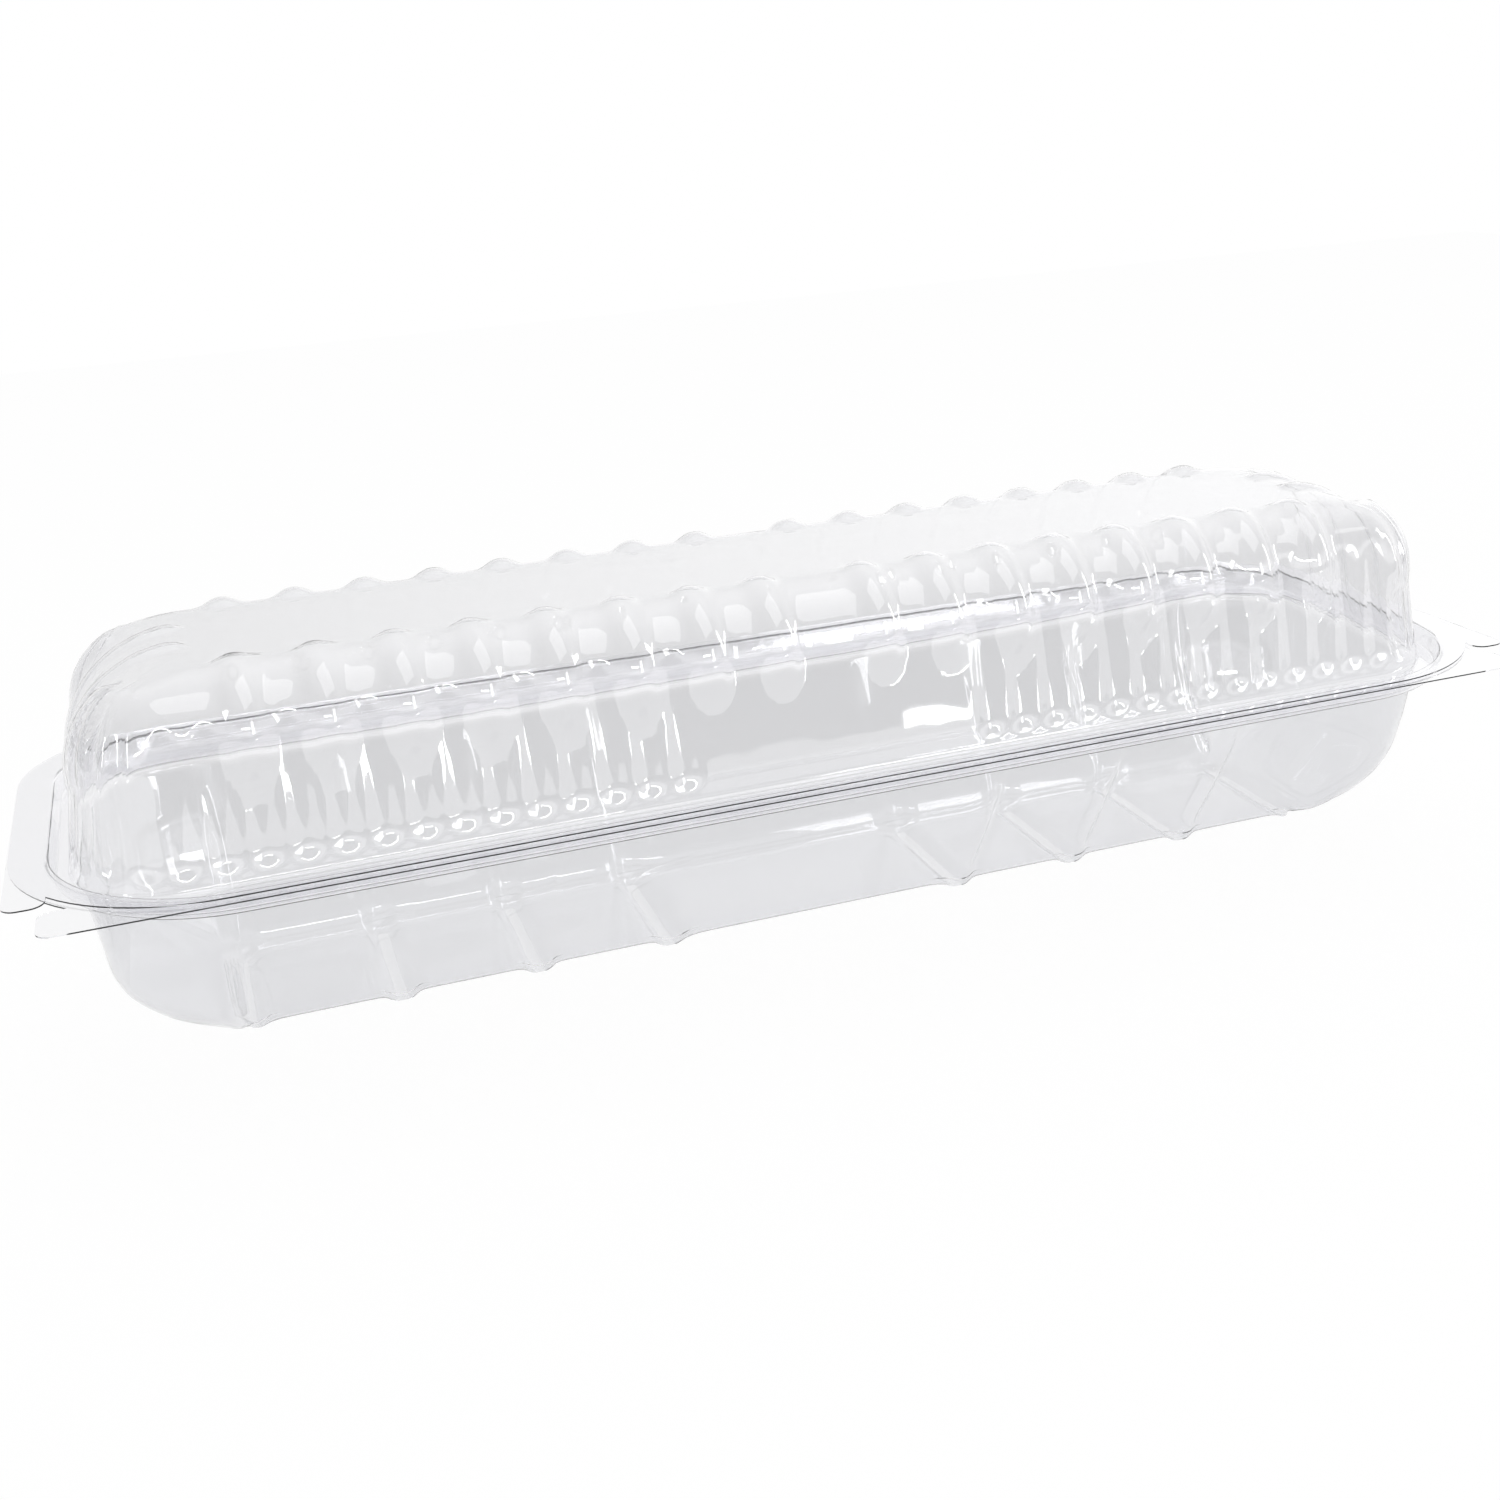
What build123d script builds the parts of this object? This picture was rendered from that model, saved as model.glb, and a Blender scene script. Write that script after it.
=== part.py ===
from build123d import *
import math
import os

os.makedirs("parts", exist_ok=True)

# Hinged clear container for one baguette, thermoformed from a single thin sheet.
# Millimetres. X runs along the loaf, -Y is the opening front, +Y the hinge, Z is up.
# The container stands on z = 0 and is centred on X = Y = 0.

# --- sheet and seam ---
SHEET = 0.3
SEAM_Z = 47.0
SEAM_GAP = 0.3

# --- rim ---
RIM_HALF_LENGTH = 170.0
RIM_HALF_WIDTH = 55.6
RIM_FRONT_RADIUS = 40.0
RIM_BACK_RADIUS = 29.0
HINGE_SETBACK = 0.15
LID_FRONT_SETBACK = 1.6
RECESS_DEPTH = 4.0
RECESS_HALF_LENGTH = 163.0
RECESS_HALF_WIDTH = 52.6
RECESS_FRONT_RADIUS = 37.0
RECESS_BACK_RADIUS = 27.0
RECESS_DRAFT = 15.0
RECESS_CHORDS = 10
NEST_GAP = 0.35

# --- opening tabs at the two front corners ---
TAB_RADIUS = 3.0
LID_TAB_INNER_X = 162.0
LID_TAB_FRONT_Y = 42.6
BASE_TAB_END_X = 163.5
BASE_TAB_BACK_Y = 44.0

# --- spine shared by dome and trough: both are a rounded offset of this rectangle ---
SPINE_HALF_LENGTH = 136.4
SPINE_HALF_WIDTH = 17.0
FOOT_REACH = 22.6

# --- dome ---
DOME_TOP = 36.3
DOME_DRAFT = 9.6
SHOULDER_RADIUS = 15.0
END_SHOULDER_RADIUS = 25.0
FAN_SHOULDER_RADIUS = 19.0
CROWN_CORNER_RADIUS = 6.0
SHOULDER_TURNS = 4

# --- ribs over the shoulder, one many-sided bar each, and flutes down the wall ---
RIB_PITCH = 15.6
RIB_FIRST = 11.7
RIBS_PER_QUARTER = 8
RIB_RADIUS = 5.6
RIB_PROUD = 1.78
RIB_INNER_Y = 18.5
RIB_SIDES = 10
RIB_TURNS = 5
RIB_END_ANGLE = 118.0
RIB_NOSE_RUN = 1.5
RIB_NOSE_DROP = 0.6
FAN_RIB_RADIUS = 3.0
FAN_RIB_PROUD = 0.9
FAN_RIB_INNER = 7.0
FAN_STEP = 19.5
FAN_COUNT = 4
END_PITCH = 7.0
END_RIB_ROWS = (-1, 1)
END_FLUTE_ROWS = (-2, -1, 0, 1, 2)
END_RIB_RADIUS = 4.2
END_RIB_PROUD = 1.3
END_RIB_INNER = -6.9
FLUTE_WIDTH = 5.2
FLUTE_DEPTH = 0.9
FLUTE_FOOT = 3.0
FLUTE_TOP = 27.0
FLUTE_SLOPE = 35.0
FLUTE_SLOPE_RUN = 0.6
FLUTE_CLEAR = 0.6
FLUTE_TOE = 1.4
PANEL_HALF_LENGTH = 31.0

# --- trough: a full-bodied barrel whose long middle is pared down to slanted walls ---
TROUGH_LEVELS = (
    (-RECESS_DEPTH, 157.6, 40.6, 22.0),
    (-17.5, 155.8, 38.2, 19.5),
    (-26.0, 155.0, 35.4, 18.0),
    (-31.0, 153.5, 33.4, 17.0),
    (-36.5, 147.6, 30.6, 13.5),
    (-43.4, 136.0, 24.6, 10.0),
)
WALL_PROFILE = (
    (39.6, -RECESS_DEPTH),
    (33.4, -17.5),
    (25.8, -30.5),
    (18.8, -41.2),
)
WALL_HALF_LENGTH = 131.0
PLINTH_HALF_LENGTH = 130.0
PLINTH_HALF_WIDTH = 18.0
PLINTH_RADIUS = 5.0
PLINTH_BOTTOM = -45.4
PLINTH_DRAFT = 6.0
PLINTH_RISE = 7.0

# --- foot ribs across the underside ---
FOOT_RIB_X = (36.2, 66.7, 97.3, 129.6)
FOOT_RIB_WIDTH = 6.2
FOOT_RIB_PROUD = 1.6
FOOT_RIB_EDGE = 1.2


def chorded(half_x, half_y, back_radius, front_radius, turns, z):
    """The points of a rounded rectangle at a height, its corner arcs taken in chords between turns."""
    points = []
    for side_x, side_y in ((1, 1), (-1, 1), (-1, -1), (1, -1)):
        radius = back_radius if side_y > 0 else front_radius
        for turn in reversed(turns) if side_x == side_y else turns:
            angle = math.radians(turn)
            x = half_x - radius + radius * math.sin(angle)
            y = half_y - radius + radius * math.cos(angle)
            points.append((side_x * x, side_y * y, z))
    return points


def fan_loop(half_x, half_y, radius, z):
    """A plan loop whose corners turn midway between the fan's rows, so that each row lies on a flat."""
    turns = [0] + [(row + 0.5) * FAN_STEP for row in range(FAN_COUNT)] + [90]
    return chorded(half_x, half_y, radius, radius, turns, z)


def skinned(loops):
    """A flat-faced solid over matching loops whose edges run parallel from one loop to the next."""
    faces = [Face(Wire.make_polygon(loop)) for loop in (loops[0], loops[-1])]
    for low, high in zip(loops, loops[1:]):
        for i in range(len(low)):
            faces.append(Face(Wire.make_polygon([low[i - 1], low[i], high[i], high[i - 1]])))
    return Solid(Shell(faces))


def rim_outline(half_x, front_y, back_y, front_radius, back_radius):
    """The rim's plan: straight hinge edge at the back, wider corner arcs in front."""
    with BuildSketch() as sketch:
        with Locations((0, (back_y - front_y) / 2)):
            Rectangle(2 * half_x, front_y + back_y)
        fillet(sketch.vertices().group_by(Axis.Y)[0], front_radius)
        fillet(sketch.vertices().group_by(Axis.Y)[-1], back_radius)
    return sketch.sketch


def recess_loop(inset, z):
    """The plan of the recess at a height."""
    return chorded(
        RECESS_HALF_LENGTH - inset,
        RECESS_HALF_WIDTH - inset,
        RECESS_BACK_RADIUS - inset,
        RECESS_FRONT_RADIUS - inset,
        [90 * chord / RECESS_CHORDS for chord in range(RECESS_CHORDS + 1)],
        z,
    )


def recess(inset, depth):
    """The drafted well that steps the rim down to its ledge, cut down from the seam plane."""
    run = depth * math.tan(math.radians(RECESS_DRAFT))
    return skinned([recess_loop(inset, 0), recess_loop(inset + run, -depth)])


def reach_at(z, shoulder, inset):
    """How far the dome stands out from its spine at a height: a drafted wall, then the shoulder's arc."""
    lean = math.radians(DOME_DRAFT)
    axis_z = DOME_TOP - shoulder
    bend = shoulder - inset
    if z <= axis_z + bend * math.sin(lean):
        return FOOT_REACH - (z + RECESS_DEPTH) * math.tan(lean) - inset / math.cos(lean)
    return axis_reach(shoulder) + math.sqrt(max(bend**2 - (z - axis_z) ** 2, 0))


def axis_reach(shoulder):
    """Where a shoulder's axis lies, measured out from the spine."""
    lean = math.radians(DOME_DRAFT)
    wall = FOOT_REACH - (DOME_TOP - shoulder + RECESS_DEPTH) * math.tan(lean)
    return wall - shoulder / math.cos(lean)


def dome_heights(inset):
    """Level cuts through the dome: its foot, the bend of the ends, then equal turns of the shoulder."""
    lean = math.radians(DOME_DRAFT)
    end_bend = DOME_TOP - END_SHOULDER_RADIUS + (END_SHOULDER_RADIUS - inset) * math.sin(lean)
    turns = []
    for turn in range(SHOULDER_TURNS + 1):
        angle = lean + (math.pi / 2 - lean) * turn / SHOULDER_TURNS
        turns.append(DOME_TOP - SHOULDER_RADIUS + (SHOULDER_RADIUS - inset) * math.sin(angle))
    return [-RECESS_DEPTH, end_bend] + turns


def dome(inset):
    """The lid's domed form, from the ledge up, with every face drawn inwards by the inset."""
    loops = []
    for z in dome_heights(inset):
        end_reach = reach_at(z, END_SHOULDER_RADIUS, inset)
        side_reach = reach_at(z, SHOULDER_RADIUS, inset)
        corner = max(end_reach, CROWN_CORNER_RADIUS - inset)
        loops.append(fan_loop(SPINE_HALF_LENGTH + end_reach, SPINE_HALF_WIDTH + side_reach, corner, z))
    return skinned(loops)


def wall_point(z, depth):
    """A point of the dome wall in its radial plane, sunk below the surface by the depth."""
    lean = math.radians(DOME_DRAFT)
    reach = FOOT_REACH - (z + RECESS_DEPTH) * math.tan(lean)
    return (reach - depth * math.cos(lean), z - depth * math.sin(lean))


def rib(radius, proud, shoulder, inner_reach, skin):
    """A bar bent over the shoulder in equal turns: its nose dips into the crown, its tail into the wall."""
    sunk = radius - proud
    bend = shoulder - sunk
    axis = (axis_reach(shoulder), DOME_TOP - shoulder)
    shown = math.sqrt(radius**2 - sunk**2)
    first = math.asin(max(inner_reach + shown - axis[0], 0) / bend)
    last = math.radians(RIB_END_ANGLE)
    route = []
    for turn in range(RIB_TURNS + 1):
        angle = first + (last - first) * turn / RIB_TURNS
        route.append((0, axis[0] + bend * math.sin(angle), axis[1] + bend * math.cos(angle)))
    head_y = inner_reach + shown
    nose = (0, head_y - RIB_NOSE_RUN * shown, route[0][2] - proud - RIB_NOSE_DROP)
    if head_y < axis[0]:
        route.insert(0, (0, head_y, route[0][2]))
    route.insert(0, nose)
    start = Vector(*route[0])
    along = (Vector(*route[1]) - start).normalized()
    with BuildPart() as bar:
        with BuildLine() as path:
            Polyline(*route)
        with BuildSketch(Plane(start, x_dir=(1, 0, 0), z_dir=along)):
            RegularPolygon(radius - skin, RIB_SIDES)
        sweep(path=path.line, transition=Transition.RIGHT)
    return bar.part


def flute(skin):
    """A shallow slot down the dome wall with a round foot and sloping sides."""
    foot = Vector(0, *wall_point(FLUTE_FOOT - RECESS_DEPTH, FLUTE_DEPTH + skin))
    head = Vector(0, *wall_point(FLUTE_TOP, FLUTE_DEPTH + skin))
    floor = Plane(foot, x_dir=head - foot, z_dir=Vector(1, 0, 0).cross(foot - head))
    length = (head - foot).length
    width = FLUTE_WIDTH / 2 - FLUTE_SLOPE_RUN + skin
    depth = FLUTE_DEPTH + skin + FLUTE_CLEAR
    loops = []
    for rise in (0, depth):
        spread = rise * math.tan(math.radians(FLUTE_SLOPE))
        side = width + spread
        toe = FLUTE_TOE + spread * (2 - math.sqrt(2))
        start = -spread
        end = length + spread
        outline = [(end, -side), (end, side), (start + toe, side), (start, side - toe)]
        outline += [(start, toe - side), (start + toe, -side)]
        loops.append([floor.from_local_coords(Vector(x, y, rise)) for x, y in outline])
    return skinned(loops)


def around(x, side_y, angle):
    """Where a form drawn over +Y lands: on a point of the spine, turned about Z."""
    return Location((x, side_y, 0), (0, 0, angle))


def rib_places():
    """Spine points and turns of the long-side ribs."""
    places = []
    for side, turn in ((1, 0), (-1, 180)):
        for step in range(RIBS_PER_QUARTER):
            for hand in (1, -1):
                x = hand * (RIB_FIRST + step * RIB_PITCH)
                places.append(around(x, side * SPINE_HALF_WIDTH, turn))
    return places


def fan_places():
    """Spine corners and turns of the fanned ribs and flutes."""
    places = []
    for step in range(FAN_COUNT):
        swing = (step + 1) * FAN_STEP
        places.append(around(SPINE_HALF_LENGTH, SPINE_HALF_WIDTH, -swing))
        places.append(around(SPINE_HALF_LENGTH, -SPINE_HALF_WIDTH, 180 + swing))
        places.append(around(-SPINE_HALF_LENGTH, SPINE_HALF_WIDTH, swing))
        places.append(around(-SPINE_HALF_LENGTH, -SPINE_HALF_WIDTH, 180 - swing))
    return places


def end_places(rows):
    """Spine points and turns over the short ends, at whole rows of the end pitch."""
    places = []
    for row in rows:
        places.append(around(SPINE_HALF_LENGTH, row * END_PITCH, -90))
        places.append(around(-SPINE_HALF_LENGTH, row * END_PITCH, 90))
    return places


def side_flute_places():
    """Long-side flutes at half the rib pitch, from the label panel's edge to the ends of the spine."""
    places = []
    spacing = RIB_PITCH / 2
    first = math.ceil((PANEL_HALF_LENGTH - RIB_FIRST) / spacing)
    last = round((SPINE_HALF_LENGTH - RIB_FIRST) / spacing)
    for side, turn in ((1, 0), (-1, 180)):
        for step in range(first, last + 1):
            for hand in (1, -1):
                x = hand * (RIB_FIRST + step * spacing)
                places.append(around(x, side * SPINE_HALF_WIDTH, turn))
    return places


def ribbed_dome(skin):
    """The dome with its flutes sunk in and its ribs raised; skin draws every face inwards."""
    slot = flute(skin)
    slot_places = side_flute_places() + fan_places() + end_places(END_FLUTE_ROWS)
    slots = [slot.moved(place) for place in slot_places]
    side_inner = RIB_INNER_Y - SPINE_HALF_WIDTH
    side = rib(RIB_RADIUS, RIB_PROUD, SHOULDER_RADIUS, side_inner, skin)
    fan = rib(FAN_RIB_RADIUS, FAN_RIB_PROUD, FAN_SHOULDER_RADIUS, FAN_RIB_INNER, skin)
    end = rib(END_RIB_RADIUS, END_RIB_PROUD, END_SHOULDER_RADIUS, END_RIB_INNER, skin)
    ribs = [side.moved(place) for place in rib_places()]
    ribs += [fan.moved(place) for place in fan_places()]
    ribs += [end.moved(place) for place in end_places(END_RIB_ROWS)]
    with BuildPart() as form:
        add(dome(skin))
        add(slots, mode=Mode.SUBTRACT)
        add(ribs)
    return form.part


def barrel(skin):
    """The full-bodied barrel, drawn inwards and upwards by the skin below its mouth."""
    loops = []
    for z, half_x, half_y, radius in TROUGH_LEVELS:
        rise = 0 if z == -RECESS_DEPTH else skin
        loops.append(fan_loop(half_x - skin, half_y - skin, radius - skin, z + rise))
    return skinned(loops)


def side_cutters(skin):
    """What is pared off each long side of the barrel, leaving the slanted wall."""
    wall = [(y - skin, z) for y, z in WALL_PROFILE]
    outer = RIM_HALF_WIDTH
    outline = wall + [(wall[-1][0], PLINTH_BOTTOM), (outer, PLINTH_BOTTOM), (outer, wall[0][1])]
    with BuildPart() as cutter:
        with BuildSketch(Plane.YZ):
            Polygon(*outline, align=None)
        extrude(amount=WALL_HALF_LENGTH + skin, both=True)
    return [cutter.part, cutter.part.rotate(Axis.Z, 180)]


def foot_rib(skin):
    """One foot rib: a rounded bar that hugs the trough's section from wall to wall."""
    proud = FOOT_RIB_PROUD - skin
    side = [(y + proud, z) for y, z in WALL_PROFILE[1:]]
    low = PLINTH_BOTTOM - proud
    start = (WALL_PROFILE[0][0] - skin, WALL_PROFILE[0][1])
    end = (PLINTH_HALF_WIDTH + proud, PLINTH_BOTTOM + FOOT_RIB_EDGE)
    toe = (PLINTH_HALF_WIDTH - FOOT_RIB_EDGE, low)
    right = [start] + side + [end, toe]
    outline = right + [(-y, z) for y, z in reversed(right)]
    with BuildPart() as bar:
        with BuildSketch(Plane.YZ):
            Polygon(*outline, align=None)
        extrude(amount=FOOT_RIB_WIDTH / 2 - skin, both=True)
        flanks = bar.faces().filter_by(Axis.X)
        under = [edge for edge in flanks.edges() if edge.center().Z < -RECESS_DEPTH - 1]
        chamfer(under, FOOT_RIB_EDGE - skin / 2)
    return bar.part


def trough(skin):
    """The loaf's lower half: barrel ends, slanted walls, plinth and foot ribs."""
    loops = []
    for rise in (skin, PLINTH_RISE):
        spread = rise * math.tan(math.radians(PLINTH_DRAFT)) - skin
        sides = (PLINTH_HALF_LENGTH, PLINTH_HALF_WIDTH, PLINTH_RADIUS)
        loops.append(fan_loop(*(size + spread for size in sides), PLINTH_BOTTOM + rise))
    bar = foot_rib(skin)
    bars = [bar.moved(Location((hand * x, 0, 0))) for x in FOOT_RIB_X for hand in (1, -1)]
    with BuildPart() as form:
        add(barrel(skin))
        add(side_cutters(skin), mode=Mode.SUBTRACT)
        add(skinned(loops))
        add(bars)
    return form.part


def lid_tabs():
    """Short-edge tabs that reach forward past the front corner arcs."""
    tabs = []
    for hand in (1, -1):
        width = RIM_HALF_LENGTH - LID_TAB_INNER_X
        depth = LID_TAB_FRONT_Y
        with BuildSketch() as tab:
            with Locations((hand * (RIM_HALF_LENGTH - width / 2), -depth / 2)):
                Rectangle(width, depth)
            fillet(tab.vertices().sort_by(Axis.Y)[:2], TAB_RADIUS)
        tabs.append(tab.sketch)
    return tabs


def base_tabs():
    """Front-edge tabs that reach sideways past the front corner arcs."""
    tabs = []
    for hand in (1, -1):
        width = BASE_TAB_END_X
        depth = RIM_HALF_WIDTH - BASE_TAB_BACK_Y
        with BuildSketch() as tab:
            with Locations((hand * width / 2, -(RIM_HALF_WIDTH - depth / 2))):
                Rectangle(width, depth)
            ends = tab.vertices().filter_by_position(Axis.X, *sorted((hand * width - 1, hand * width + 1)))
            fillet(ends, TAB_RADIUS)
        tabs.append(tab.sketch)
    return tabs


lid_outline = rim_outline(
    RIM_HALF_LENGTH,
    RIM_HALF_WIDTH - LID_FRONT_SETBACK,
    RIM_HALF_WIDTH - HINGE_SETBACK,
    RIM_FRONT_RADIUS,
    RIM_BACK_RADIUS,
)
base_outline = rim_outline(
    RIM_HALF_LENGTH,
    RIM_HALF_WIDTH,
    RIM_HALF_WIDTH - HINGE_SETBACK,
    RIM_FRONT_RADIUS,
    RIM_BACK_RADIUS,
)
lid_lift = Location((0, 0, SEAM_Z + SEAM_GAP / 2))
base_drop = Location((0, 0, SEAM_Z - SEAM_GAP / 2))

with BuildPart() as lid_form:
    extrude(lid_outline, amount=SHEET)
    for tab in lid_tabs():
        extrude(tab, amount=SHEET)
    add(recess(NEST_GAP, RECESS_DEPTH))
    add(recess(NEST_GAP + SHEET, RECESS_DEPTH - SHEET), mode=Mode.SUBTRACT)
    add(skinned([recess_loop(NEST_GAP + SHEET, z) for z in (0, SHEET)]), mode=Mode.SUBTRACT)
    add(ribbed_dome(0))
    add(ribbed_dome(SHEET), mode=Mode.SUBTRACT)

with BuildPart() as base_form:
    extrude(base_outline, amount=-SHEET)
    for tab in base_tabs():
        extrude(tab, amount=-SHEET)
    add(recess(-SHEET, RECESS_DEPTH + SHEET))
    add(trough(0))
    add(recess(0, RECESS_DEPTH), mode=Mode.SUBTRACT)
    add(trough(SHEET), mode=Mode.SUBTRACT)

with BuildPart() as lid:
    add(lid_form.part.moved(lid_lift))

with BuildPart() as base:
    add(base_form.part.moved(base_drop))

lid.part.label = "lid"
base.part.label = "base"
export_step(lid.part, "parts/lid.step")
export_step(base.part, "parts/base.step")
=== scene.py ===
import bpy
import math
import numpy as np
from mathutils import Matrix, Vector


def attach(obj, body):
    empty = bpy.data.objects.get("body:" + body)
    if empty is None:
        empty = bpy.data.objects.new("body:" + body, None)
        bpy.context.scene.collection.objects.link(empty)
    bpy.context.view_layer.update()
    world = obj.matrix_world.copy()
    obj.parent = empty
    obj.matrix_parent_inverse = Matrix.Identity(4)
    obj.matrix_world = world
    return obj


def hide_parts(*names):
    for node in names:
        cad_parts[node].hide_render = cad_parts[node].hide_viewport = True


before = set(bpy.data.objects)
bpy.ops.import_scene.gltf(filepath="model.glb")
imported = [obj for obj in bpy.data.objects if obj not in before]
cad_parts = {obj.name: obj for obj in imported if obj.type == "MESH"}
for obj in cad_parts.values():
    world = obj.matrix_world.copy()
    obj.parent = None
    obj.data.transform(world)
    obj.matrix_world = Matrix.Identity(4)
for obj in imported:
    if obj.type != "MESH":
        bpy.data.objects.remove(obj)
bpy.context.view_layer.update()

# A hinged container for a baguette: a base and a lid, each formed from one thin clear sheet.
# Each half is laid out as loops of points, one above the other, which become one smooth skin.
# The skin is carried out to the trimmed rim and then given the sheet's thickness.

# the level at which the two rims meet, in metres
FLANGE_Z = 0.047


def select_only(*objects):
    """Leave only these objects selected, with the first one active."""
    bpy.ops.object.select_all(action="DESELECT")
    for thing in objects:
        thing.select_set(True)
    bpy.context.view_layer.objects.active = objects[0]


# ---------------------------------------------------------------- nodes

def links(tree, *pairs):
    """Join each output to the input beside it."""
    for source, target in pairs:
        tree.links.new(source, target)


def combine(tree, operation, first, second):
    """A maths node on two sockets, or on a socket and a number."""
    node = tree.nodes.new("ShaderNodeMath")
    node.operation = operation
    for socket, value in zip(node.inputs, (first, second)):
        if isinstance(value, float):
            socket.default_value = value
        else:
            tree.links.new(value, socket)
    return node.outputs["Value"]


def ramp(tree, value, taken, given, way="LINEAR"):
    """Carry one range of a value onto another, and hold it level past both ends."""
    node = tree.nodes.new("ShaderNodeMapRange")
    node.interpolation_type = way
    for name, number in zip(("From Min", "From Max", "To Min", "To Max"), taken + given):
        node.inputs[name].default_value = number
    tree.links.new(value, node.inputs["Value"])
    return node.outputs["Result"]


def faded(tree, value, taken):
    """A soft ramp from nought to one as a value goes through a range."""
    return ramp(tree, value, taken, (0.0, 1.0), "SMOOTHSTEP")


def noise(tree, place, scale, detail):
    """Even noise over a place."""
    node = tree.nodes.new("ShaderNodeTexNoise")
    node.inputs["Scale"].default_value = scale
    node.inputs["Detail"].default_value = detail
    tree.links.new(place, node.inputs["Vector"])
    return node.outputs["Fac"]


def coordinates(tree, place):
    """The three coordinates of a place."""
    split = tree.nodes.new("ShaderNodeSeparateXYZ")
    tree.links.new(place, split.inputs["Vector"])
    return split.outputs["X"], split.outputs["Y"], split.outputs["Z"]


def mix_surfaces(tree, share, first, second, output):
    """Give an output two surfaces, by the share of the second."""
    mix = tree.nodes.new("ShaderNodeMixShader")
    links(
        tree,
        (share, mix.inputs["Fac"]),
        (first, mix.inputs[1]),
        (second, mix.inputs[2]),
        (mix.outputs["Shader"], tree.nodes[output].inputs["Surface"]),
    )


# ---------------------------------------------------------------- clear plastic

PLASTIC_IOR = 1.57
# the lid's and base's grey tints are partly the sheet's own colour and partly painted shade,
# which darkens all that is seen through them; the base's deeper tint is more painted shade
LID_TINT_AND_SHADE = (0.9, 0.9, 0.908, 1.0)
BASE_TINT_AND_SHADE = (0.862, 0.864, 0.876, 1.0)
# the rim's lighter tint is painted light, laid over the band of heights given next
RIM_PAINTED_LIGHT_TINT = (0.955, 0.955, 0.965, 1.0)
RIM_FROM_BELOW = (0.0405, 0.0425)
RIM_FROM_ABOVE = (0.0495, 0.048)
SCUFF_STRETCH = (40.0, 900.0, 300.0)
SCUFF_TURN = (0.3, 0.2, 0.5)
SCUFF_DETAIL = 3.0
SCUFF_LEVELS = (0.62, 0.8)
SCUFF_ROUGHNESS = (0.02, 0.09)
WAVE_SCALE = 45.0
WAVE_DETAIL = 2.0
WAVE_DEPTH = 0.00006
LAMPLIGHT_PASSED = (0.97, 0.97, 0.97, 1.0)


def tint_with_painted_shade_and_light(tree, place, tint_and_shade, target):
    """The body's grey tint, partly the sheet's own colour and partly painted shade; the rim gets
    a lighter tint, which is painted light.
    """
    _, _, height = coordinates(tree, place)
    over = faded(tree, height, RIM_FROM_BELOW)
    under = faded(tree, height, RIM_FROM_ABOVE)

    # a Mix node keeps its colour sockets after the ones for numbers and vectors
    colour = tree.nodes.new("ShaderNodeMix")
    colour.data_type = "RGBA"
    share, body_tint_and_shade, rim_painted_light = (colour.inputs[i] for i in (0, 6, 7))
    # the body's grey tint, partly the sheet's own colour and partly painted shade
    body_tint_and_shade.default_value = tint_and_shade
    # the rim's lighter tint is painted light
    rim_painted_light.default_value = RIM_PAINTED_LIGHT_TINT
    links(tree, (combine(tree, "MULTIPLY", over, under), share), (colour.outputs[2], target))


def scuff_sheet(tree, place, target):
    """Faint scuffs from handling, which dull the gloss along hairlines."""
    stretch = tree.nodes.new("ShaderNodeMapping")
    stretch.inputs["Scale"].default_value = SCUFF_STRETCH
    stretch.inputs["Rotation"].default_value = SCUFF_TURN
    tree.links.new(place, stretch.inputs["Vector"])
    hairlines = noise(tree, stretch.outputs["Vector"], 1.0, SCUFF_DETAIL)
    tree.links.new(ramp(tree, hairlines, SCUFF_LEVELS, SCUFF_ROUGHNESS), target)


def wave_sheet(tree, place, target):
    """Shallow waves, as a formed sheet is never dead flat."""
    bump = tree.nodes.new("ShaderNodeBump")
    bump.inputs["Strength"].default_value = 1.0
    bump.inputs["Distance"].default_value = WAVE_DEPTH
    waves = noise(tree, place, WAVE_SCALE, WAVE_DETAIL)
    links(tree, (waves, bump.inputs["Height"]), (bump.outputs["Normal"], target))


def clear_plastic(name, tint_and_shade):
    """Thin clear formed plastic: glossy, a little wavy and finely scuffed."""
    material = bpy.data.materials.new(name)
    material.use_nodes = True
    tree = material.node_tree
    sheet = tree.nodes["Principled BSDF"]
    sheet.inputs["Transmission Weight"].default_value = 1.0
    sheet.inputs["IOR"].default_value = PLASTIC_IOR
    place = tree.nodes.new("ShaderNodeTexCoord").outputs["Object"]
    tint_with_painted_shade_and_light(tree, place, tint_and_shade, sheet.inputs["Base Color"])
    scuff_sheet(tree, place, sheet.inputs["Roughness"])
    wave_sheet(tree, place, sheet.inputs["Normal"])

    # lamps shine through the clear sheet instead of leaving a solid shadow
    shadow = tree.nodes.new("ShaderNodeLightPath").outputs["Is Shadow Ray"]
    passed = tree.nodes.new("ShaderNodeBsdfTransparent")
    passed.inputs["Color"].default_value = LAMPLIGHT_PASSED
    mix_surfaces(tree, shadow, sheet.outputs["BSDF"], passed.outputs["BSDF"], "Material Output")
    return material


lid_plastic = clear_plastic("clear_lid_sheet", LID_TINT_AND_SHADE)
base_plastic = clear_plastic("clear_base_sheet", BASE_TINT_AND_SHADE)


# ---------------------------------------------------------------- loops, in millimetres

SHEET = 0.3

# heights are measured from the face of each flange that looks at the other half's
RIM_GAP = 0.3
LID_ZERO = 1000 * FLANGE_Z + RIM_GAP / 2
BASE_ZERO = 1000 * FLANGE_Z - RIM_GAP / 2

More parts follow.
